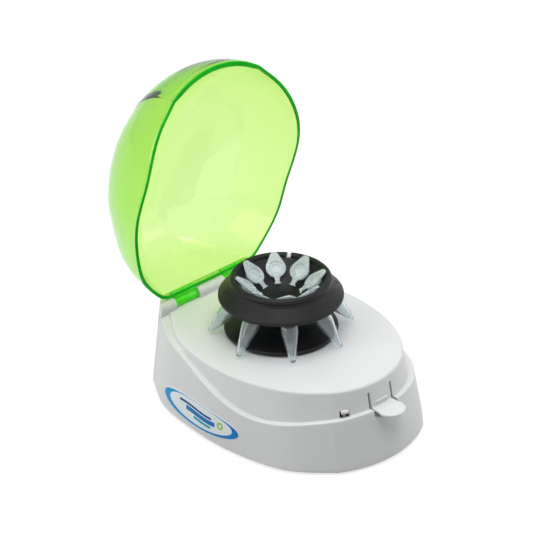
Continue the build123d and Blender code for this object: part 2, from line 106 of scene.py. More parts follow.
# Latch and interlock button
TONGUE_HALF = 8.5
SLOT_HALF = TONGUE_HALF + 1.6
TONGUE_TOP = 45.2
TONGUE_BOTTOM = 33.5
TONGUE_THICK = 2.4
TAB_RADIUS = 9.2
TAB_CENTRE_Y = -94.9
TAB_THICK = 1.7
TAB_WELL = 30.0
NECK_Y = -87.0
RELIEF_Y = -85.3
NIB_HALF = 4.8
NIB_Z = 37.8
NIB_OUT = 0.6
BUTTON_X = -25.6
BUTTON_HALF = 2.4
BUTTON_OUT = 0.9
BUTTON_IN = 3.6
BUTTON_LOW = 36.2
BUTTON_TOP = 38.3
BUTTON_WELL = 33.0
WINDOW_LEFT = 0.9
WINDOW_RIGHT = 0.5
WINDOW_FRONT = 0.9
WINDOW_BACK = 4.0
WINDOW_ABOVE = 0.15
STEM_BOTTOM = 23.6
STEM_IN = 2.2
STEM_R = 1.2

# Rotor and tubes
TUBE_COUNT = 8
TUBE_FIRST = 10.3
TUBE_DOWN = 50.0
CAP_TOP_R = 19.5
CAP_TOP_Z = 83.0
TUBE_LENGTH = 40.0
TUBE_R = 5.4
TUBE_WALL = 0.9
CAP_R = 6.4
CAP_PLATE = 1.2
CAP_TAB_X = 7.7
CAP_TAB_R = 2.9
COLLAR_R = 6.1
COLLAR_T = 1.4
BRIM_R = 39.2
BRIM_Z = 74.4
FLANGE_R = 35.9
FLANGE_Z = 51.7
BEAD_R = 29.6
BEAD_TUBE = 2.2
BEAD_Z = 86.0
BRIM_SLOPE = ((BEAD_R + 2.6, BEAD_Z - 2.9), (BRIM_R - 0.4, BRIM_Z + 2.2))
ROTOR_NOTCH_TURN = 36.0
SPINDLE_R = 4.0
SPINDLE_TOP = 67.0
SPINDLE_SHOULDER = 52.6

# Badge on the left wall
BADGE_CENTRE = (4.6, 14.8)
BADGE_SIZE = (36.8, 9.1)
BADGE_INNER_CENTRE = (3.46, 15.44)
BADGE_INNER_SIZE = (30.2, 7.73)
BADGE_TILT = -1.7
BADGE_T = 0.35
JACK_Z = 17.0
JACK_NOSE_R = 4.0

# Camera and light
VIEW_TURN = -43.32
VIEW_UP = 29.47
VIEW_ROLL = -0.6
VIEW_DISTANCE = 1500.0
VIEW_TARGET = (47.83, 63.55, 50.0)
CLIP_END = 50.0
LENS = 154.3
SENSOR = 36.0
DARK_SIDE = (-0.62, -0.72, 0.30)
ROOM_LIGHT = 0.88
ROOM_DARK = 0.0
FLOOR_BOUNCE = 0.45
FLOOR_REACH = 6.0
FLOOR_GREY = 0.36
FLOOR_GLOW = 0.70


# ---- geometry helpers

def place(points):
    """Millimetres about the rotor axis to metres in the shared frame."""
    array = np.asarray(points, float).reshape(-1, 3) * MM
    return array + np.array([0.0, AXIS_Y, 0.0])


def smooth_curve(points, first, last, steps):
    """Points at fractions of a smooth curve that leaves and arrives in given directions."""
    knots = np.asarray(points, float)
    gaps = np.linalg.norm(np.diff(knots, axis=0), axis=1)
    count = len(knots)
    system = np.zeros((count, count))
    wanted = np.zeros_like(knots)
    system[0, 0] = system[-1, -1] = 1.0
    wanted[0] = np.asarray(first) / np.linalg.norm(first)
    wanted[-1] = np.asarray(last) / np.linalg.norm(last)
    for i in range(1, count - 1):
        before, after = gaps[i - 1], gaps[i]
        system[i, i - 1:i + 2] = 1 / before, 2 / before + 2 / after, 1 / after
        wanted[i] = 3 * ((knots[i] - knots[i - 1]) / before ** 2 + (knots[i + 1] - knots[i]) / after ** 2)
    slopes = np.linalg.solve(system, wanted)
    ends = np.concatenate([[0.0], np.cumsum(gaps)])
    result = []
    for along in np.asarray(steps) * ends[-1]:
        i = min(int(np.searchsorted(ends, along, side="right")) - 1, count - 2)
        gap = gaps[i]
        t = (along - ends[i]) / gap
        result.append((2 * t ** 3 - 3 * t ** 2 + 1) * knots[i] + (t ** 3 - 2 * t ** 2 + t) * gap * slopes[i]
                      + (3 * t ** 2 - 2 * t ** 3) * knots[i + 1] + (t ** 3 - t ** 2) * gap * slopes[i + 1])
    return np.array(result)


def arc_through(start, middle_y, steps):
    """Right half of an arc from start to (0, middle_y), mirrored about x = 0."""
    half = start[0]
    rise = start[1] - middle_y
    radius = (half ** 2 + rise ** 2) / (2 * rise)
    turn = math.asin(min(1.0, half / radius))
    angles = turn * (1 - np.asarray(steps))
    return np.stack([radius * np.sin(angles), middle_y + radius - radius * np.cos(angles)], axis=1)


REAR_STEPS = np.linspace(0, 1, 13)
CORNER_STEPS = np.linspace(0, 1, 13)
SIDE_STEPS = np.append(np.linspace(0, 1, 72)[:-1], [0.9965, 1.0])
NOSE_STEPS = np.concatenate([[0.0, 0.012], np.linspace(0, 1, 30)[1:]])


@lru_cache(maxsize=None)
def outline(plan, inset=0.0):
    """Points round a plan outline moved in by inset, from the rear middle over the right side."""
    corner_x, corner_r, degrees = plan.corner
    turn = math.radians(degrees)
    radius = corner_r - inset
    corner = np.array([corner_x, plan.rear - corner_r])
    angles = turn * CORNER_STEPS
    around = corner + radius * np.stack([np.sin(angles), np.cos(angles)], axis=1)
    outer_end = corner + corner_r * np.array([math.sin(turn), math.cos(turn)])
    run = [tuple(outer_end)] + list(plan.side) + [plan.crease, (0.0, plan.nose)]
    moved = []
    for before, here, after in zip(run[:-2], run[1:-1], run[2:]):
        dx, dy = after[0] - before[0], after[1] - before[1]
        length = math.hypot(dx, dy)
        moved.append((here[0] + dy / length * inset, here[1] - dx / length * inset))
    last = np.subtract(moved[-1], moved[-2])
    side = smooth_curve([tuple(around[-1])] + moved, (math.cos(turn), -math.sin(turn)), last, SIDE_STEPS)
    nose = arc_through(moved[-1], plan.nose + inset, NOSE_STEPS)
    rear = np.stack([REAR_STEPS * around[0][0], np.full(len(REAR_STEPS), around[0][1])], axis=1)
    half = np.concatenate([rear, around[1:], side[1:], nose[1:]])
    mirrored = half[-2:0:-1] * [-1, 1]
    return np.concatenate([half, mirrored])


STATIONS = len(outline(BOTTOM))


def wall_ring(bottom, top, inset, heights):
    """Ring on the straight-sided wall between two outlines, at a height for each station."""
    low, high = outline(bottom, inset), outline(top, inset)
    share = (np.broadcast_to(heights, STATIONS) - bottom.z) / (top.z - bottom.z)
    flat = low + (high - low) * share[:, None]
    return np.column_stack([flat, np.broadcast_to(heights, STATIONS)])


SEAM_ENDS = np.subtract(SEAM[1], SEAM[0]), np.subtract(SEAM[-1], SEAM[-2])
SEAM_CURVE = smooth_curve(SEAM, *SEAM_ENDS, np.linspace(0, 1, 400))


def seam_height(y):
    """Height of the seam at a depth y."""
    return np.interp(y, SEAM_CURVE[::-1, 0], SEAM_CURVE[::-1, 1])


def seam_ring(bottom, top, inset, lower=0.0):
    """Ring where a wall meets the seam, lowered by a little."""
    heights = np.full(STATIONS, 40.0)
    for _ in range(8):
        heights = seam_height(wall_ring(bottom, top, inset, heights)[:, 1]) - lower
    return wall_ring(bottom, top, inset, heights)


def linked(name, data):
    """Object that holds the data, put in the scene."""
    obj = bpy.data.objects.new(name, data)
    bpy.context.scene.collection.objects.link(obj)
    return obj


def new_object(name, verts, faces):
    """Mesh object from millimetre points, with doubles merged and normals outward."""
    mesh = bpy.data.meshes.new(name)
    mesh.from_pydata(place(verts).tolist(), [], faces)
    mesh.validate()
    edit = bmesh.new()
    edit.from_mesh(mesh)
    bmesh.ops.remove_doubles(edit, verts=edit.verts, dist=MERGE_WITHIN)
    bmesh.ops.recalc_face_normals(edit, faces=edit.faces)
    edit.to_mesh(mesh)
    edit.free()
    return linked(name, mesh)


def ring_mesh(name, rings, close=False, first_pole=False, last_pole=False):
    """Mesh of equal rings joined one to the next. close joins the last to the first; a pole closes an end."""
    count = len(rings[0])
    verts = [tuple(p) for ring in rings for p in ring]
    faces = []
    pairs = list(zip(range(len(rings) - 1), range(1, len(rings))))
    if close:
        pairs.append((len(rings) - 1, 0))
    for a, b in pairs:
        for i in range(count):
            j = (i + 1) % count
            faces.append((a * count + i, a * count + j, b * count + j, b * count + i))
    if first_pole:
        verts.append(tuple(np.mean(rings[0], axis=0)))
        faces += [(len(verts) - 1, (i + 1) % count, i) for i in range(count)]
    if last_pole:
        verts.append(tuple(np.mean(rings[-1], axis=0)))
        start = (len(rings) - 1) * count
        faces += [(len(verts) - 1, start + i, start + (i + 1) % count) for i in range(count)]
    return new_object(name, verts, faces)


def smooth(obj, angle=32.0):
    """Smooth shading with edges over the angle kept sharp."""
    mesh = obj.data
    mesh.polygons.foreach_set("use_smooth", [True] * len(mesh.polygons))
    mesh.set_sharp_from_angle(angle=math.radians(angle))
    return obj


def modified(obj, kind, **settings):
    """Bakes one modifier into an object's mesh."""
    modifier = obj.modifiers.new(kind, kind)
    for key, value in settings.items():
        setattr(modifier, key, value)
    bpy.context.view_layer.update()
    mesh = bpy.data.meshes.new_from_object(obj.evaluated_get(bpy.context.evaluated_depsgraph_get()))
    old = obj.data
    obj.modifiers.clear()
    obj.data = mesh
    bpy.data.meshes.remove(old)
    return obj


def combine(obj, other, operation="DIFFERENCE"):
    """Boolean of obj with another object, which is used up."""
    modified(obj, "BOOLEAN", object=other, operation=operation, solver="EXACT")
    bpy.data.objects.remove(other)
    return obj


def bevelled(obj, width, segments=3):
    """Rounds the sharp edges by width, in millimetres."""
    return modified(obj, "BEVEL", width=width * MM, segments=segments, limit_method="ANGLE",
                    angle_limit=math.radians(35.0), miter_outer="MITER_ARC")


def transformed(points, matrix):
    """Points moved by a 4x4 matrix, in millimetres."""
    moves = np.array(matrix)
    return np.asarray(points, float) @ moves[:3, :3].T + moves[:3, 3]


def prism(name, flat, low, high, axis="z", matrix=Matrix()):
    """Closed outline extruded along an axis, then moved. flat holds (x, y), (y, z) or (x, z) points."""
    count = len(flat)
    order = {"z": [0, 1, 2], "x": [2, 0, 1], "y": [0, 2, 1]}[axis]
    points = np.array([(a, b, level) for level in (low, high) for a, b in flat], float)
    verts = transformed(points[:, order], matrix)
    faces = [tuple(range(count)), tuple(range(count, 2 * count))]
    faces += [(i, (i + 1) % count, count + (i + 1) % count, count + i) for i in range(count)]
    return new_object(name, verts, faces)


def rectangle(x, y):
    """Corners of a rectangle from (low, high) pairs."""
    return [(x[0], y[0]), (x[1], y[0]), (x[1], y[1]), (x[0], y[1])]


def box_piece(name, x, y, z):
    """Box from (low, high) pairs."""
    return prism(name, rectangle(x, y), *z)


def arc(radius, angles, centre=(0.0, 0.0)):
    """Points of a circle at the given angles."""
    return [(centre[0] + radius * math.cos(a), centre[1] + radius * math.sin(a)) for a in angles]


def circle(radius, count, centre=(0.0, 0.0)):
    """Points all the way round a circle."""
    return arc(radius, np.arange(count) * 2 * math.pi / count, centre)


def rounded(points, radius, steps=4):
    """Profile with its corners rounded. radius is one number or one for each point."""
    points = [np.array(p, float) for p in points]
    radii = radius if hasattr(radius, "__len__") else [radius] * len(points)
    result = []
    for i, (here, reach) in enumerate(zip(points, radii)):
        if i in (0, len(points) - 1) or reach <= 0:
            result.append(tuple(here))
            continue
        back, ahead = points[i - 1] - here, points[i + 1] - here
        cut = min(reach, 0.48 * np.linalg.norm(back), 0.48 * np.linalg.norm(ahead))
        start = here + back / np.linalg.norm(back) * cut
        end = here + ahead / np.linalg.norm(ahead) * cut
        for t in np.linspace(0, 1, steps + 1):
            result.append(tuple((1 - t) ** 2 * start + 2 * t * (1 - t) * here + t ** 2 * end))
    return result


def lathe(name, profile, segments=96, matrix=Matrix()):
    """Turns an open (r, z) profile about Z. Its ends close on the axis when their radius is 0."""
    first, last = profile[0][0] < 1e-6, profile[-1][0] < 1e-6
    angles = np.arange(segments) * 2 * math.pi / segments
    rings = []
    for r, z in profile[int(first):len(profile) - int(last)]:
        ring = np.column_stack([r * np.cos(angles), r * np.sin(angles), np.full(segments, z)])
        rings.append(transformed(ring, matrix))
    return ring_mesh(name, rings, close=not (first or last), first_pole=first, last_pole=last)


def joined(name, objects):
    """One object from several, which are used up."""
    edit = bmesh.new()
    for obj in objects:
        edit.from_mesh(obj.data)
        bpy.data.objects.remove(obj)
    mesh = bpy.data.meshes.new(name)
    edit.to_mesh(mesh)
    edit.free()
    return linked(name, mesh)


def dress(obj, *materials):
    """Gives a piece its materials."""
    obj.data.materials.clear()
    for material in materials:
        obj.data.materials.append(material)
    return obj


def piece(obj, body, nodes=()):
    """Declares a finished piece: the body it rides on and the CAD nodes it stands for."""
    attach(obj, body)
    if nodes:
        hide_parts(*nodes)


# ---- materials

def fill(tree, node, inputs):
    """Fills a node's inputs: an output is linked, a value is set, and a colour gets its alpha."""
    for key, value in inputs.items():
        socket = node.inputs[key]
        if isinstance(value, bpy.types.NodeSocket):
            tree.links.new(value, socket)
        else:
            socket.default_value = (*value, 1.0) if socket.type == "RGBA" else value


def add_node(tree, kind, inputs=None, **settings):
    """Node with its settings and inputs."""
    node = tree.nodes.new(kind)
    for key, value in settings.items():
        setattr(node, key, value)
    fill(tree, node, inputs or {})
    return node


class Surface:
    """A Principled material whose colour, roughness and bump come from procedural detail."""

    def __init__(self, name, **sockets):
        self.material = bpy.data.materials.new(name)
        self.material.use_nodes = True
        self.tree = self.material.node_tree
        self.shader = self.tree.nodes["Principled BSDF"]
        self.output = self.tree.nodes["Material Output"]
        self.coords = self.node("ShaderNodeTexCoord").outputs["Object"]
        self.set(**sockets)

    def node(self, kind, inputs=None, **settings):
        return add_node(self.tree, kind, inputs, **settings)

    def set(self, **sockets):
        """Fills inputs of the shader. An underscore in a name stands for a space."""
        fill(self.tree, self.shader, {key.replace("_", " "): value for key, value in sockets.items()})

    def noise(self, scale, detail=3.0, roughness=0.5, stretch=None):
        """Noise value at a scale per metre, stretched along an axis if asked."""
        vector = self.coords
        if stretch is not None:
            vector = self.node("ShaderNodeMapping", {"Vector": vector, "Scale": stretch}).outputs["Vector"]
        inputs = {"Vector": vector, "Scale": scale, "Detail": detail, "Roughness": roughness}
        return self.node("ShaderNodeTexNoise", inputs).outputs["Fac"]

    def ramp(self, source, stops):
        """Colour ramp of (position, colour) stops."""
        node = self.node("ShaderNodeValToRGB", {"Fac": source})
        elements = node.color_ramp.elements
        while len(elements) < len(stops):
            elements.new(0.5)
        for element, (position, colour) in zip(elements, stops):
            element.position = position
            element.color = (*colour, 1.0)
        return node.outputs["Color"]

    def colour(self, base, vary, scale, stretch=None):
        """Base colour that drifts a little."""
        darker, lighter = (tuple(min(1.0, c * (1 + change)) for c in base) for change in (-vary, vary))
        drift = self.noise(scale, 4.0, stretch=stretch)
        self.set(Base_Color=self.ramp(drift, [(0.3, darker), (0.7, lighter)]))

    def rough(self, low, high, scale, stretch=None):
        """Roughness that drifts between two values."""
        drift = self.noise(scale, 5.0, stretch=stretch)
        inputs = {"Value": drift, "From Min": 0.3, "From Max": 0.7, "To Min": low, "To Max": high}
        self.set(Roughness=self.node("ShaderNodeMapRange", inputs).outputs["Result"])

    def bump(self, layers):
        """Bump from noise layers of (scale, height in mm, stretch)."""
        normal = {}
        for scale, height, stretch in layers:
            height_map = self.noise(scale, 3.0, 0.55, stretch)
            inputs = {"Strength": 1.0, "Distance": height * MM, "Height": height_map, **normal}
            normal = {"Normal": self.node("ShaderNodeBump", inputs).outputs["Normal"]}
        self.set(**normal)

    def swap(self, rays, kind, colour):
        """Shows one kind of ray a plain shader instead."""
        plain = self.node(kind, {"Color": colour}).outputs[0]
        chosen = self.node("ShaderNodeLightPath").outputs[rays]
        mix = self.node("ShaderNodeMixShader", {0: chosen, 1: self.shader.outputs[0], 2: plain})
        fill(self.tree, self.output, {"Surface": mix.outputs[0]})

    def shadow_through(self, tint):
        """Lets lamps through a clear plastic, tinted, so that it doesn't cast a solid shadow."""
        self.swap("Is Shadow Ray", "ShaderNodeBsdfTransparent", tint)


def moulded(name, base, low, high, vary=0.02, grain=0.012, **sockets):
    """Moulded plastic: faint colour drift, fine spark-eroded grain and slow flow waves."""
    surface = Surface(name, **sockets)
    surface.colour(base, vary, 18.0)
    surface.rough(low, high, 45.0)
    surface.bump([(2600.0, grain, None), (60.0, 0.02, None)])
    return surface.material


def metal(name, base, low, high, stretch=(1.0, 1.0, 1.0)):
    """Worked metal with fine directional marks."""
    surface = Surface(name, Metallic=1.0)
    surface.colour(base, 0.06, 40.0, stretch)
    surface.rough(low, high, 120.0, stretch)
    surface.bump([(900.0, 0.01, stretch)])
    return surface.material


def lid_clear():
    """Clear tinted plastic: the colour comes from absorption in its thickness."""
    surface = Surface("lid_green", Transmission_Weight=1.0, IOR=1.49, Base_Color=(0.98, 1.0, 0.95))
    surface.rough(0.0, 0.02, 25.0)
    surface.shadow_through((0.98, 0.995, 0.98))
    absorb = surface.node("ShaderNodeVolumeAbsorption", {"Color": (0.63, 0.88, 0.085), "Density": 500.0})
    fill(surface.tree, surface.output, {"Volume": absorb.outputs[0]})
    return surface.material


def deep_green(name, base, drift, low, high, specular):
    """The clear plastic where its depth makes it a full green: the end of the rim and the knuckles."""
    surface = Surface(name, Specular_IOR_Level=specular)
    surface.colour(base, *drift)
    surface.rough(low, high, 80.0)
    surface.bump([(400.0, 0.006, None)])
    return surface.material


def board_print():
    """Solder mask with pale tracks under it."""
    surface = Surface("board_green", Coat_Weight=0.3)
    tracks = {"Vector": surface.coords, "Scale": 260.0, "Mortar Size": 0.06, "Color1": (0.006, 0.085, 0.03),
              "Color2": (0.008, 0.10, 0.035), "Mortar": (0.02, 0.19, 0.06)}
    surface.set(Base_Color=surface.node("ShaderNodeTexBrick", tracks).outputs["Color"])
    surface.rough(0.25, 0.4, 90.0)
    surface.bump([(700.0, 0.01, None)])
    return surface.material


def frosted(name, base, transmission, low, high, tint):
    """Natural polypropylene: milky, soft-edged and slightly uneven."""
    surface = Surface(name, Transmission_Weight=transmission, IOR=1.49)
    surface.colour(base, 0.04, 120.0)
    surface.rough(low, high, 160.0)
    surface.bump([(900.0, 0.002, None), (120.0, 0.005, (1.0, 1.0, 3.0))])
    surface.shadow_through(tint)
    return surface.material


def badge_print():
    """Printed oval: blue ring and pale field, with plain stripes and a small ring on it."""
    surface = Surface("badge", Specular_IOR_Level=0.2)
    surface.rough(0.4, 0.5, 90.0)
    split = surface.node("ShaderNodeSeparateXYZ", {0: surface.coords})
    tilt = math.radians(BADGE_TILT)

    def number(operation, *values):
        return surface.node("ShaderNodeMath", dict(enumerate(values)), operation=operation).outputs[0]

    def along(centre):
        dy = number("SUBTRACT", number("DIVIDE", number("SUBTRACT", split.outputs[1], AXIS_Y), MM), centre[0])
        dz = number("SUBTRACT", number("DIVIDE", split.outputs[2], MM), centre[1])
        u = number("ADD", number("MULTIPLY", dy, math.cos(tilt)), number("MULTIPLY", dz, math.sin(tilt)))
        v = number("SUBTRACT", number("MULTIPLY", dz, math.cos(tilt)), number("MULTIPLY", dy, math.sin(tilt)))
        return u, v

    def inside(u, v, size):
        squares = [number("POWER", number("DIVIDE", *pair), 2) for pair in zip((u, v), size)]
        return number("LESS_THAN", number("ADD", *squares), 1.0)

    def band(u, v, left, right, low, high):
        x = number("MULTIPLY", number("GREATER_THAN", u, left), number("LESS_THAN", u, right))
        y = number("MULTIPLY", number("GREATER_THAN", v, low), number("LESS_THAN", v, high))
        return number("MULTIPLY", x, y)

    def over(mask, below, above):
        inputs = {"Factor": mask, 6: below, 7: above}
        return surface.node("ShaderNodeMix", inputs, data_type="RGBA").outputs[2]

    u, v = along(BADGE_CENTRE)
    inner_u, inner_v = along(BADGE_INNER_CENTRE)
    share = number("DIVIDE", number("ADD", u, BADGE_SIZE[0]), 2 * BADGE_SIZE[0])
    blues = [(0.0, (0.0, 0.16, 0.48)), (0.5, (0.0, 0.27, 0.66)), (1.0, (0.0, 0.30, 0.64))]
    ring = surface.ramp(share, blues)
    white = (0.78, 0.82, 0.84)
    paint = over(inside(u, v, (BADGE_SIZE[0] - 0.55, BADGE_SIZE[1] - 0.5)), white, ring)
    paint = over(inside(inner_u, inner_v, BADGE_INNER_SIZE), paint, white)
    # plain marks: three waved stripes and a ring
    wave = number("MULTIPLY", number("SINE", number("MULTIPLY", inner_u, 0.16)), 0.55)
    waved = number("SUBTRACT", inner_v, wave)
    navy, sky, lime, teal = (0.0, 0.08, 0.26), (0.0, 0.17, 0.45), (0.33, 0.55, 0.05), (0.0, 0.33, 0.42)
    paint = over(band(inner_u, waved, -13.0, 19.0, 1.9, 3.6), paint, navy)
    paint = over(band(inner_u, waved, -16.0, 12.0, -2.0, 1.2), paint, sky)
    paint = over(band(inner_u, waved, -12.0, 4.0, -4.6, -2.8), paint, teal)
    dot_u, dot_v = number("SUBTRACT", inner_u, -20.5), number("SUBTRACT", inner_v, 0.4)
    paint = over(inside(dot_u, dot_v, (2.6, 2.6)), paint, lime)
    paint = over(inside(dot_u, dot_v, (1.2, 1.2)), paint, white)
    surface.set(Base_Color=paint)
    surface.bump([(1500.0, 0.004, None)])
    return surface.material


WHITE = moulded("housing_white", (0.70, 0.71, 0.715), 0.42, 0.52)
GREY = moulded("housing_grey", (0.69, 0.705, 0.70), 0.42, 0.52)
BLACK = moulded("rotor_black", (0.0055, 0.0055, 0.0065), 0.42, 0.54, 0.15, 0.02, Specular_IOR_Level=0.27)
BUTTON_WHITE = moulded("button_white", (0.84, 0.84, 0.83), 0.3, 0.4)
MARK_WHITE = moulded("mark_white", (0.78, 0.79, 0.80), 0.4, 0.5)
LID = lid_clear()
LID_EDGE = deep_green("lid_green_edge", (0.002, 0.50, 0.012), (0.15, 60.0), 0.25, 0.4, 0.12)
LID_BLOCK = deep_green("lid_green_block", (0.07, 0.78, 0.02), (0.12, 90.0), 0.12, 0.22, 0.3)
VIAL = frosted("tube_clear", (0.76, 0.81, 0.83), 0.97, 0.06, 0.12, (0.82, 0.85, 0.86))
CAP = frosted("cap_clear", (0.70, 0.76, 0.79), 0.62, 0.20, 0.32, (0.7, 0.74, 0.75))
BADGE = badge_print()
RUBBER = moulded("foot_rubber", (0.022, 0.022, 0.023), 0.62, 0.78, 0.2, 0.04)
MOULDED_BLACK = moulded("jack_black", (0.018, 0.018, 0.02), 0.3, 0.42, 0.1, 0.01)
SCREW_STEEL = metal("screw_steel", (0.56, 0.56, 0.55), 0.26, 0.4)
PIN_STEEL = metal("pin_steel", (0.66, 0.66, 0.67), 0.18, 0.28, (1.0, 8.0, 8.0))
CAN_STEEL = metal("motor_can", (0.50, 0.51, 0.52), 0.3, 0.42, (3.0, 3.0, 0.4))
PLATE_STEEL = metal("plate_steel", (0.60, 0.61, 0.62), 0.28, 0.4, (0.5, 6.0, 6.0))
ALUMINIUM = metal("hub_aluminium", (0.72, 0.73, 0.74), 0.22, 0.34, (0.6, 0.6, 12.0))
SLEEVE = moulded("capacitor_sleeve", (0.03, 0.05, 0.16), 0.25, 0.35, 0.1, 0.006)
BOARD = board_print()


# ---- housing

def button_frame():
    """Frame on the front deck wall at the button, with -Y straight out of the wall."""
    middle = (BUTTON_LOW + BUTTON_TOP) / 2
    left, right = (float(deck_wall_y(BUTTON_X + step, middle)) for step in (-1.0, 1.0))
    turn = Matrix.Rotation(math.atan2(right - left, 2.0), 4, "Z")
    return Matrix.Translation((BUTTON_X, (left + right) / 2, 0)) @ turn


def button_window():
    """Cutter for the well that the interlock button stands in."""
    x = (-BUTTON_HALF - WINDOW_LEFT, BUTTON_HALF + WINDOW_RIGHT)
    flat = rectangle(x, (-BUTTON_OUT - WINDOW_FRONT, WINDOW_BACK))
    return prism("cut", flat, BUTTON_WELL, BUTTON_TOP + WINDOW_ABOVE, matrix=button_frame())


def lower_housing():
    """Outer wall: rounded foot edge, straight draft, rounded seam edge and the ledge in to the deck wall."""
    rings = [wall_ring(BOTTOM, TOP, WALL, BOTTOM.z)]
    for a in np.linspace(0, math.pi / 2, 6):
        inset = FOOT_ROUND * (1 - math.sin(a))
        rings.append(wall_ring(BOTTOM, TOP, inset, BOTTOM.z + FOOT_ROUND * (1 - math.cos(a))))
    low, high = rings[-1][:, 2], seam_ring(BOTTOM, TOP, 0.0, SEAM_ROUND)[:, 2]
    for share in np.linspace(0, 1, 18)[1:]:
        rings.append(wall_ring(BOTTOM, TOP, 0.0, low + (high - low) * share))
    for a in np.linspace(0, math.pi / 2, 6)[1:]:
        rings.append(seam_ring(BOTTOM, TOP, SEAM_ROUND * (1 - math.cos(a)), SEAM_ROUND * (1 - math.sin(a))))
    ledge = seam_ring(DECK_FOOT, DECK_TOP, -LEDGE_GAP)
    rings.append(rings[-1] + (ledge - rings[-1]) * 0.9)
    rings.append(ledge - [0, 0, 0.12])
    for share in np.linspace(0, 1, 5)[:-1]:
        level = ledge[:, 2] - 1.5 + (BOTTOM.z - ledge[:, 2] + 1.5) * share
        rings.append(wall_ring(BOTTOM, TOP, WALL, level))
    obj = ring_mesh("base_wall", rings, close=True)
    combine(obj, box_piece("cut", (-SLOT_HALF, SLOT_HALF), (-110, -80), (TAB_WELL, 60)))
    combine(obj, button_window())
    combine(obj, prism("cut", circle(JACK_NOSE_R + 0.15, 48, (0, JACK_Z)), 60, 80, axis="y"))
    piece(smooth(dress(obj, GREY)), "base", ["lower_housing"])


def deck_rings():
    """Closed skin of the deck: hole edge, flat top, rounded edge, wall, inner wall and underside."""
    top = DECK_TOP.z
    edge = wall_ring(DECK_FOOT, DECK_TOP, DECK_ROUND, top)
    turn = np.arctan2(edge[:, 1], edge[:, 0])
    rim = np.column_stack([DECK_HOLE_R * np.cos(turn), DECK_HOLE_R * np.sin(turn), np.full(STATIONS, top)])
    rings = [rim - [0, 0, 0.5], rim * [1.04, 1.04, 1]]
    for share in np.linspace(0, 1, 9)[1:]:
        rings.append(rings[1] + (edge - rings[1]) * share)
    for a in np.linspace(0, math.pi / 2, 7)[1:]:
        inset = DECK_ROUND * (1 - math.sin(a))
        rings.append(wall_ring(DECK_FOOT, DECK_TOP, inset, top - DECK_ROUND * (1 - math.cos(a))))
    for level in np.linspace(top - DECK_ROUND, DECK_FOOT.z, 14)[1:]:
        rings.append(wall_ring(DECK_FOOT, DECK_TOP, 0.0, level))
    for level in np.linspace(DECK_FOOT.z, top - SKIN, 5):
        rings.append(wall_ring(DECK_FOOT, DECK_TOP, SKIN, level))
    under = rings[-1]
    low_rim = rim - [0, 0, SKIN]
    for share in (0.5, 1.0):
        rings.append(under + (low_rim - under) * share)
    return rings


def deck():
    """Deck and its sloping wall, with the openings for the latch and the button."""
    obj = ring_mesh("deck", deck_rings(), close=True)
    height = (TONGUE_BOTTOM - 3.0, TONGUE_TOP + 0.2)
    combine(obj, box_piece("cut", (-SLOT_HALF, SLOT_HALF), (-100, -70), height))
    combine(obj, button_window())
    piece(smooth(dress(obj, WHITE)), "base", ["upper_housing"])


def hinge_riser():
    """Raised strip behind the deck with the hinge lugs."""
    walls = [wall_ring(BOTTOM, TOP, 0.0, z) for z in (BOTTOM.z, TOP.z)]
    outer = ring_mesh("outer", walls, first_pole=True, last_pole=True)
    width = (-RISER_HALF, RISER_HALF)
    riser = box_piece("hinge_riser", width, (HINGE_Y, RISER_BACK), (RISER_FOOT, RISER_TOP))
    step = box_piece("step", width, (HINGE_Y - HINGE_LUG_R, HINGE_Y + 1), (RISER_FOOT, HINGE_Z))
    combine(riser, step, "UNION")
    combine(riser, prism("lug", circle(HINGE_LUG_R, 64, (HINGE_Y, HINGE_Z)), *width, axis="x"), "UNION")
    combine(riser, outer, "INTERSECT")
    radius = KNUCKLE_R + KNUCKLE_GAP
    for side in (-1, 1):
        pocket = sorted((side * (KNUCKLE_X[0] - KNUCKLE_GAP), side * (KNUCKLE_X[1] + KNUCKLE_GAP)))
        combine(riser, prism("cut", circle(radius, 48, (HINGE_Y, HINGE_Z)), *pocket, axis="x"))
        combine(riser, box_piece("cut", pocket, (HINGE_Y - 8, HINGE_Y), (HINGE_Z - radius, 60)))
        combine(riser, box_piece("cut", pocket, (HINGE_Y - 1, HINGE_Y + radius), (HINGE_Z, 60)))
    bevelled(riser, 0.45, 3)
    piece(smooth(dress(riser, WHITE)), "base", ["hinge_riser"])


# ---- lid

HINGE = Matrix.Translation((0, HINGE_Y, HINGE_Z))
LID_TURN = HINGE @ Matrix.Rotation(math.radians(-LID_OPEN), 4, "X") @ HINGE.inverted()


def eased(share):
    """Smooth step from 0 to 1."""
    share = np.clip(share, 0, 1)
    return share * share * (3 - 2 * share)


def rim_height(y):
    """Height of the closed lid's rim: along the seam, rising to clear the hinge at the rear."""
    blend = eased((np.asarray(y) - RIM_RISE_Y[0]) / (RIM_RISE_Y[1] - RIM_RISE_Y[0]))
    return (seam_height(y) + LID_GAP) * (1 - blend) + LID_REAR_BOTTOM * blend


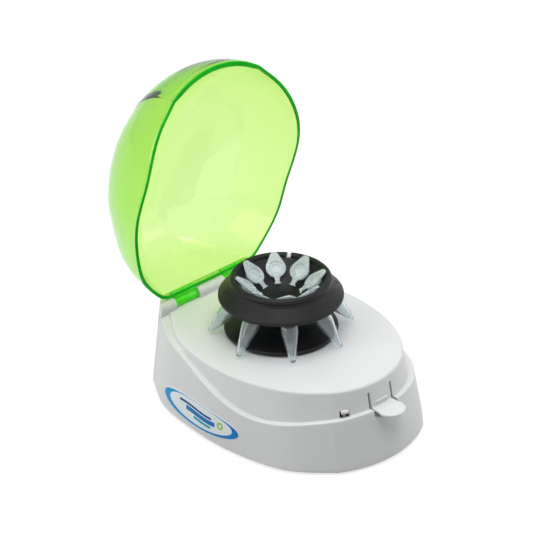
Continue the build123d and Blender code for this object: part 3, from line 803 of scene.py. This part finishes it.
def dome_rings(inset, top, levels, front_inset=0.0):
    """Rings of one face of the dome from its rim to its crown."""
    plan = outline(LID_PLAN, inset)
    thick_plan = outline(LID_PLAN, inset + front_inset)
    centre = np.array([0.0, LID_CENTRE_Y])
    drops = np.linspace(-LID_SKIRT, 0, 30)[:-1]
    angles = np.radians(np.linspace(0, 90, 180))
    scales = np.concatenate([np.ones(len(drops)), np.cos(angles)])
    heights = np.concatenate([LID_WAIST_Z + drops, LID_WAIST_Z + (top - LID_WAIST_Z) * np.sin(angles)])
    rings = [[] for _ in levels]
    for i in range(STATIONS):
        flat = centre + (plan[i] - centre) * scales[:, None]
        flat[:, 1] = flat_rear(flat[:, 1], LID_REAR - inset)
        path = np.column_stack([flat, heights])
        above = heights - rim_height(path[:, 1])
        first = int(np.argmax(above > 0))
        share = -above[first - 1] / (above[first] - above[first - 1])
        start = path[first - 1] + (path[first] - path[first - 1]) * share
        path = np.vstack([start, path[first:]])
        lengths = np.concatenate([[0.0], np.cumsum(np.linalg.norm(np.diff(path, axis=0), axis=1))])
        thicker = thick_plan[i] - plan[i]
        for ring, level in zip(rings, levels):
            along = level[0] * lengths[-1] + level[1]
            point = np.array([np.interp(along, lengths, path[:, k]) for k in range(3)])
            point[:2] += thicker * level[2] * front_share(plan[i])
            ring.append(point)
    return [np.array(ring) for ring in rings]


def front_thickness(share):
    """Extra thickness of the front section along its height, as a share of the lip's."""
    from_thickest = share - 0.16
    if from_thickest < 0:
        return 0.5 + 0.4 * math.exp(-(from_thickest / 0.09) ** 2)
    return 0.9 * math.exp(-(from_thickest / 0.25) ** 2)


def flat_rear(y, limit):
    """Depths cut off at the flat rear wall, with a rounded fold."""
    return limit - LID_REAR_ROUND * np.logaddexp(0.0, (limit - y) / LID_REAR_ROUND)


def front_share(point):
    """1 in the front section between the creases, easing to 0 on the sides."""
    return eased((LID_PLAN.crease[0] - abs(point[0])) / CREASE_EASE) if point[1] < 0 else 0.0


def lid_dome():
    """Clear dome with a rounded rim and a thicker lip inside the front section."""
    shares = np.concatenate([np.linspace(0, 1, 46)[1:-1], [0.992]])
    outer_levels = [(0.0, 0.45, 0)] + [(s, 0.0, 0) for s in shares]
    inner_levels = [(0.0, 0.35, 1), (0.0, LIP_DEPTH - 0.5, 1), (0.0, LIP_DEPTH, 0.5)]
    inner_levels += [(s, LIP_DEPTH * (1 - s), front_thickness(s)) for s in shares]
    outer = dome_rings(0.0, LID_TOP, outer_levels)
    inner = dome_rings(LID_SKIN, LID_TOP - LID_SKIN, inner_levels, LIP_THICKER)
    edge_out = dome_rings(RIM_ROUND, LID_TOP - RIM_ROUND, [(0.0, 0.0, 0)])[0]
    edge_in = dome_rings(LID_SKIN - RIM_ROUND, LID_TOP - LID_SKIN, [(0.0, 0.0, 1)], LIP_THICKER)[0]
    rings = outer[::-1] + [edge_out, edge_in] + inner
    obj = ring_mesh("lid_shell", [transformed(r, LID_TURN) for r in rings], first_pole=True, last_pole=True)
    smooth(dress(obj, LID, LID_EDGE), 40.0)
    paint_rim(obj)
    piece(obj, "lid", ["lid_dome"])


def paint_rim(obj):
    """Gives the faces of the rim's end the edge material."""
    shut = LID_TURN.inverted()
    for polygon in obj.data.polygons:
        normal = shut.to_3x3() @ polygon.normal
        centre = shut @ ((polygon.center - Vector((0, AXIS_Y, 0))) / MM)
        near = centre.z - float(rim_height(centre.y)) < 0.5
        polygon.material_index = int(near and normal.z < -0.3)


def knuckle(side):
    """Hinge knuckle: a barrel round the pin with an arm to the lid's rear wall."""
    angles = np.linspace(math.radians(-155), math.radians(145), 30)
    wall_y = LID_REAR - LID_SKIN / 2
    flat = arc(KNUCKLE_R, angles, (HINGE_Y, HINGE_Z)) + [(wall_y, HINGE_Z + 2.6), (wall_y, HINGE_Z - 1.3)]
    low, high = sorted(side * x for x in KNUCKLE_X)
    obj = prism(f"lid_knuckle_{'left' if side < 0 else 'right'}", flat, low, high, axis="x", matrix=LID_TURN)
    combine(obj, prism("cut", circle(PIN_R + 0.05, 32, (HINGE_Y, HINGE_Z)), low - 1, high + 1, axis="x"))
    bevelled(obj, 0.35, 2)
    piece(smooth(dress(obj, LID_BLOCK)), "lid")


# ---- latch and button

def deck_wall_y(x, z):
    """Depth of the front deck wall at a width and height."""
    share = (z - DECK_FOOT.z) / (DECK_TOP.z - DECK_FOOT.z)
    flat = outline(DECK_FOOT) * (1 - share) + outline(DECK_TOP) * share
    front = flat[(flat[:, 1] < -60) & (np.abs(flat[:, 0]) < 30)]
    order = np.argsort(front[:, 0])
    return np.interp(x, front[order, 0], front[order, 1])


def wall_patch(name, half, low, high, outset, thick, columns=18, rows=12):
    """Slab that follows the front deck wall."""
    xs, zs = np.linspace(-half, half, columns), np.linspace(low, high, rows)
    front = [(x, float(deck_wall_y(x, z)) - outset, z) for z in zs for x in xs]
    back = [(x, y + thick + outset, z) for x, y, z in front]
    grid = np.arange(rows * columns).reshape(rows, columns)
    faces = []
    for sheet in (grid, grid + grid.size):
        corners = (sheet[:-1, :-1], sheet[:-1, 1:], sheet[1:, 1:], sheet[1:, :-1])
        faces += np.stack(corners, axis=-1).reshape(-1, 4).tolist()
    for edge in (grid[0], grid[-1], grid[:, 0], grid[:, -1]):
        near, far = edge[:-1], edge[1:]
        faces += np.stack([near, far, far + grid.size, near + grid.size], axis=-1).tolist()
    return new_object(name, front + back, faces)


def latch():
    """Tongue in the front wall with its catch nib and the D-shaped thumb tab."""
    tongue = wall_patch("latch_tongue", TONGUE_HALF, TONGUE_BOTTOM, TONGUE_TOP + 1.0, 0.0, TONGUE_THICK)
    bevelled(tongue, 0.3, 2)
    # flush with the deck in front, and lower behind the pivot, where pressing the tab lifts it
    for front, level in ((-100, TONGUE_TOP + 0.17), (RELIEF_Y, TONGUE_TOP - 0.05)):
        combine(tongue, box_piece("cut", (-20, 20), (front, -70), (level, TONGUE_TOP + 5.0)))
    nib = wall_patch("nib", NIB_HALF, NIB_Z - 0.8, NIB_Z + 0.8, NIB_OUT, 0.5, 8, 4)
    bevelled(nib, 0.3, 2)
    round_end = arc(TAB_RADIUS, np.linspace(math.pi, 2 * math.pi, 48), (0.0, TAB_CENTRE_Y))
    neck = [(TONGUE_HALF, TAB_CENTRE_Y + 0.6), (TONGUE_HALF, NECK_Y), (-TONGUE_HALF, NECK_Y),
            (-TONGUE_HALF, TAB_CENTRE_Y + 0.6)]
    tab = prism("tab", round_end + neck, TONGUE_BOTTOM, TONGUE_BOTTOM + TAB_THICK)
    bevelled(tab, 0.6, 4)
    obj = combine(combine(tongue, nib, "UNION"), tab, "UNION")
    piece(smooth(dress(obj, WHITE)), "latch", ["latch"])


def button():
    """Interlock button: rounded bar on its stem."""
    flat = rectangle((-BUTTON_HALF, BUTTON_HALF), (-BUTTON_OUT, BUTTON_IN))
    obj = prism("interlock_button", flat, BUTTON_LOW, BUTTON_TOP, matrix=button_frame())
    bevelled(obj, 0.4, 4)
    stem = circle(STEM_R, 24, (0, STEM_IN))
    combine(obj, prism("stem", stem, STEM_BOTTOM, BUTTON_LOW + 0.5, matrix=button_frame()), "UNION")
    piece(smooth(dress(obj, BUTTON_WHITE)), "lid_button", ["lid_button"])


# ---- rotor and tubes

def tube_turn(index):
    """Turn about the rotor's axis to one tube."""
    return Matrix.Rotation(math.radians(TUBE_FIRST + index * 360.0 / TUBE_COUNT), 4, "Z")


def tube_matrix(index):
    """Frame of one tube: origin at its cap's top, +Z out along the tube's axis."""
    tip = Matrix.Rotation(math.radians(TUBE_DOWN - 90.0), 4, "Y")
    return tube_turn(index) @ Matrix.Translation((CAP_TOP_R, 0, CAP_TOP_Z)) @ tip


def rotor():
    """Spool turned from its profile, with the tube holes and the balance notch."""
    bead = arc(BEAD_TUBE, np.linspace(math.radians(190), math.radians(-35), 16), (BEAD_R, BEAD_Z))
    profile = [(0, 71.5), (11.0, 71.5), *bead, *BRIM_SLOPE]
    profile += [(BRIM_R, BRIM_Z + 1.6), (BRIM_R, BRIM_Z), (BRIM_R - 1.8, BRIM_Z), (29.3, 83.4), (12.9, 69.4),
                (12.9, 66.0), (15.0, 61.5), (20.0, 58.0), (28.0, 55.3), (FLANGE_R - 0.4, FLANGE_Z + 1.9),
                (FLANGE_R, FLANGE_Z + 1.4), (FLANGE_R, FLANGE_Z), (10.0, FLANGE_Z), (10.0, SPINDLE_SHOULDER),
                (SPINDLE_R, SPINDLE_SHOULDER), (SPINDLE_R, SPINDLE_TOP + 0.6), (0, SPINDLE_TOP + 0.6)]
    radii = [0, 5.0] + [0] * len(bead) + [0.9, 0.5, 0.4, 0.4, 0.4, 1.5, 2.5]
    radii += [2.0] * 4 + [0.5] + [0.4] * 5 + [0.3, 0]
    obj = lathe("rotor_body", rounded(profile, radii), 192)
    bore = [(0, -14), (TUBE_R + 0.05, -14), (TUBE_R + 0.05, 0.6), (0, 0.6)]
    holes = [lathe("cut", bore, 48, tube_matrix(index)) for index in range(TUBE_COUNT)]
    combine(obj, joined("cut", holes))
    combine(obj, notch_block("cut", BEAD_Z - 0.6, BEAD_Z + 3.0))
    piece(smooth(dress(obj, BLACK), 28.0), "rotor", ["rotor"])


def notch_block(name, low, high, half=1.4, inner=3.0, outer=3.0):
    """Block across the bead at the balance notch."""
    flat = rectangle((BEAD_R - inner, BEAD_R + outer), (-half, half))
    return prism(name, flat, low, high, matrix=Matrix.Rotation(math.radians(ROTOR_NOTCH_TURN), 4, "Z"))


def balance_mark():
    """Painted fill in the balance notch."""
    obj = notch_block("balance_mark", BEAD_Z - 0.9, BEAD_Z + 0.5, 1.36, 2.0, 2.2)
    bevelled(obj, 0.15, 2)
    piece(smooth(dress(obj, MARK_WHITE)), "rotor")


def rotor_numbers():
    """Raised position numbers on the brim, one by each tube."""
    (inner_r, inner_z), (outer_r, outer_z) = BRIM_SLOPE
    slope = Matrix.Rotation(math.atan2(inner_z - outer_z, outer_r - inner_r), 4, "X")
    middle = Vector(((inner_r + outer_r) / 2, 0, (inner_z + outer_z) / 2)) * MM
    seat = Matrix.Translation(middle) @ Matrix.Rotation(math.radians(90), 4, "Z") @ slope
    numbers = []
    for index in range(TUBE_COUNT):
        text = bpy.data.curves.new("number", "FONT")
        text.body = str(index + 1)
        text.size = 3.6 * MM
        text.extrude = 0.12 * MM
        text.bevel_depth = 0.03 * MM
        text.resolution_u = 3
        text.align_x = text.align_y = "CENTER"
        holder = linked("number", text)
        mesh = bpy.data.meshes.new_from_object(holder.evaluated_get(bpy.context.evaluated_depsgraph_get()))
        bpy.data.objects.remove(holder)
        mesh.transform(Matrix.Translation((0, AXIS_Y, 0)) @ tube_turn(index) @ seat)
        numbers.append(linked("number", mesh))
    piece(smooth(dress(joined("rotor_numbers", numbers), BLACK), 30.0), "rotor")


def vial():
    """Thin-walled conical vial with its collar, in its own frame."""
    top = -CAP_PLATE
    outer = [(0, -TUBE_LENGTH), (1.5, -TUBE_LENGTH), (2.0, -TUBE_LENGTH + 1.6), (TUBE_R - 0.1, -22.0),
             (TUBE_R, -20.0), (TUBE_R, top - COLLAR_T), (COLLAR_R, top - COLLAR_T), (COLLAR_R, top)]
    inner = [(TUBE_R - TUBE_WALL, top), (TUBE_R - TUBE_WALL, -22.0), (1.0, -TUBE_LENGTH + 1.9),
             (0, -TUBE_LENGTH + 1.2)]
    radii = [0, 1.2, 1.0, 1.5, 1.0, 0.3, 0.3, 0.2, 0.2, 1.5, 0.5, 0]
    obj = lathe("vial", rounded(outer + inner, radii), 64)
    return smooth(dress(obj, VIAL), 40.0)


def spoon():
    """Plan of the cap: its disc drawn out along two tangents to a round-ended thumb tab."""
    start = math.acos((CAP_R - CAP_TAB_R) / CAP_TAB_X)
    disc = arc(CAP_R, np.linspace(start, 2 * math.pi - start, 44))
    return disc + arc(CAP_TAB_R, np.linspace(-start, start, 15), (CAP_TAB_X, 0.0))


def cap():
    """Cap: spoon-shaped plate with rings pressed in its top, plug, and flat strap with its T end."""
    plug_r = TUBE_R - TUBE_WALL
    plate = prism("cap", spoon(), -CAP_PLATE, 0.0)
    bevelled(plate, 0.3, 2)
    well = [(0, -0.55), (2.2, -0.55), (2.6, -0.35), (3.2, -0.35), (3.5, -0.55), (4.3, -0.55), (4.7, 0.5),
            (0, 0.5)]
    combine(plate, lathe("cut", rounded(well, 0.15, 2), 48))
    plug = [(0, -1.0), (plug_r, -1.0), (plug_r, -4.2), (plug_r - 0.8, -4.4), (plug_r - 0.8, -1.7), (0, -1.7)]
    combine(plate, lathe("plug", rounded(plug, 0.15, 2), 48), "UNION")
    half = [(-CAP_R + 0.5, 2.0), (-8.0, 1.45), (-9.9, 1.5), (-9.9, 2.3), (-10.6, 2.3)]
    strap = half + [(x, -y) for x, y in reversed(half)]
    strip = prism("strap", strap, -CAP_PLATE, -0.25)
    bevelled(strip, 0.2, 2)
    combine(plate, strip, "UNION")
    return smooth(dress(plate, CAP), 40.0)


def tubes():
    """Eight closed tubes: one vial and one cap, copied round the rotor."""
    patterns = {"vial": (vial(), "tube_clear"), "cap": (cap(), "cap_clear")}
    centre = Matrix.Translation((0, AXIS_Y, 0))
    for index in range(TUBE_COUNT):
        turn = tube_matrix(index)
        turn.translation *= MM
        body = f"tube_{index + 1}"
        for name, (pattern, slot_name) in patterns.items():
            mesh = pattern.data.copy()
            mesh.transform(centre @ turn @ centre.inverted())
            piece(linked(f"{body}_moulded_{name}", mesh), body, [f"{body}_{name}"])
    for pattern, _ in patterns.values():
        bpy.data.objects.remove(pattern)


# ---- badge

def left_wall_x(y, z):
    """Width of the left wall at a depth and height."""
    ring = wall_ring(BOTTOM, TOP, 0.0, z)
    left = ring[(ring[:, 0] < -20) & (ring[:, 1] < 64)]
    order = np.argsort(left[:, 1])
    return np.interp(y, left[order, 1], left[order, 0])


def badge():
    """Thin oval label with a rounded edge that follows the left wall."""
    tilt = math.radians(BADGE_TILT)
    rings = []
    levels = [(1.0, 0.02), (1.0, 0.18), (0.996, 0.28), (0.985, 0.33)]
    levels += [(share, BADGE_T) for share in np.linspace(0.97, 0.06, 14)]
    for share, proud in levels:
        ring = []
        for a in np.linspace(0, 2 * math.pi, 121)[:-1]:
            u, v = BADGE_SIZE[0] * share * math.cos(a), BADGE_SIZE[1] * share * math.sin(a)
            y = BADGE_CENTRE[0] + u * math.cos(tilt) - v * math.sin(tilt)
            z = BADGE_CENTRE[1] + u * math.sin(tilt) + v * math.cos(tilt)
            ring.append((float(left_wall_x(y, z)) - proud, y, z))
        rings.append(np.array(ring))
    obj = ring_mesh("oval_label", rings, last_pole=True)
    close_back(obj)
    piece(smooth(dress(obj, BADGE), 40.0), "base", ["badge"])


def close_back(obj):
    """Closes a shell's open border with a face."""
    edit = bmesh.new()
    edit.from_mesh(obj.data)
    bmesh.ops.contextual_create(edit, geom=[edge for edge in edit.edges if edge.is_boundary])
    bmesh.ops.recalc_face_normals(edit, faces=edit.faces)
    edit.to_mesh(obj.data)
    edit.free()


# ---- CAD nodes that stay

CARRIED = {
    GREY: "bottom_plate", SCREW_STEEL: "housing_screws damper_screws motor_screws board_screws",
    PIN_STEEL: "hinge_pin_left hinge_pin_right motor_shaft", CAN_STEEL: "motor", PLATE_STEEL: "motor_plate",
    RUBBER: "motor_dampers foot_1 foot_2 foot_3 foot_4", BOARD: "circuit_board", SLEEVE: "board_capacitor",
    MOULDED_BLACK: "board_chip lid_switch power_jack", ALUMINIUM: "spindle_hub",
}


def carry_over():
    """Gives each CAD node that stays its material."""
    for material, names in CARRIED.items():
        for name in names.split():
            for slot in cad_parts[name].material_slots:
                slot.material = material


# ---- stage

def stage():
    """Pale floor, soft lights and the white surroundings."""
    mesh = bpy.data.meshes.new("floor")
    corners = [(x * FLOOR_REACH, y * FLOOR_REACH, 0) for x, y in ((-1, -1), (1, -1), (1, 1), (-1, 1))]
    mesh.from_pydata(corners, [], [(0, 1, 2, 3)])
    floor = linked("floor", mesh)
    surface = Surface("floor", Emission_Strength=FLOOR_GLOW, Emission_Color=(1.0, 1.0, 1.0))
    surface.colour((FLOOR_GREY,) * 3, 0.004, 3.0)
    surface.rough(0.6, 0.7, 5.0)
    # the floor throws less light on matt surfaces than the camera sees on it
    surface.swap("Is Diffuse Ray", "ShaderNodeBsdfDiffuse", (FLOOR_BOUNCE,) * 3)
    dress(floor, surface.material)
    studio()
    soft_light("key", (-0.2, -0.3, 1.6), 1.2, 15.0)
    soft_light("left", (-1.4, 0.4, 0.9), 0.9, 6.5)
    soft_light("right", (1.3, -0.9, 0.9), 0.8, 3.0)


def studio():
    """White surroundings, with less light on matt surfaces from the viewer's side."""
    world = bpy.data.worlds.new("studio")
    world.use_nodes = True
    tree = world.node_tree
    side = {0: add_node(tree, "ShaderNodeTexCoord").outputs["Generated"], 1: Vector(DARK_SIDE).normalized()}
    towards = add_node(tree, "ShaderNodeVectorMath", side, operation="DOT_PRODUCT").outputs["Value"]
    span = {"Value": towards, "From Min": 0.15, "From Max": 0.8, "To Min": ROOM_LIGHT, "To Max": ROOM_DARK}
    fade = add_node(tree, "ShaderNodeMapRange", span, interpolation_type="SMOOTHSTEP").outputs["Result"]
    matt = add_node(tree, "ShaderNodeLightPath").outputs["Is Diffuse Ray"]
    strength = add_node(tree, "ShaderNodeMix", {"Factor": matt, "A": ROOM_LIGHT, "B": fade}).outputs["Result"]
    fill(tree, tree.nodes["Background"], {"Color": (1.0, 1.0, 1.0), "Strength": strength})
    bpy.context.scene.world = world


def soft_light(name, position, size, power):
    """Square area light aimed at the rotor."""
    lamp = bpy.data.lights.new(name, "AREA")
    lamp.size = size
    lamp.energy = power
    obj = linked(name, lamp)
    obj.location = position
    aim = Vector(position) - Vector((0, AXIS_Y, 0.05))
    obj.rotation_euler = aim.to_track_quat("Z", "Y").to_euler()


def camera():
    """Camera at the angle of the main view."""
    turn, up, roll = (math.radians(v) for v in (VIEW_TURN, VIEW_UP, VIEW_ROLL))
    back = Vector((math.sin(turn) * math.cos(up), -math.cos(turn) * math.cos(up), math.sin(up)))
    right = Vector((0, 0, 1)).cross(back).normalized()
    above = back.cross(right)
    axis_x = right * math.cos(roll) + above * math.sin(roll)
    axis_y = above * math.cos(roll) - right * math.sin(roll)
    target = Vector(place([VIEW_TARGET])[0])
    where = target + back * VIEW_DISTANCE * MM
    data = bpy.data.cameras.new("camera")
    data.lens = LENS
    data.sensor_width = SENSOR
    data.clip_end = CLIP_END
    obj = linked("camera", data)
    obj.matrix_world = Matrix.Translation(where) @ Matrix((axis_x, axis_y, back)).transposed().to_4x4()
    bpy.context.scene.camera = obj


# ---- build

camera()
stage()
lower_housing()
deck()
hinge_riser()
lid_dome()
knuckle(-1)
knuckle(1)
latch()
button()
rotor()
rotor_numbers()
balance_mark()
tubes()
badge()
carry_over()
bpy.context.scene.view_settings.view_transform = "Standard"
cycles = bpy.context.scene.cycles
cycles.max_bounces = cycles.transmission_bounces = 24
cycles.glossy_bounces = 16
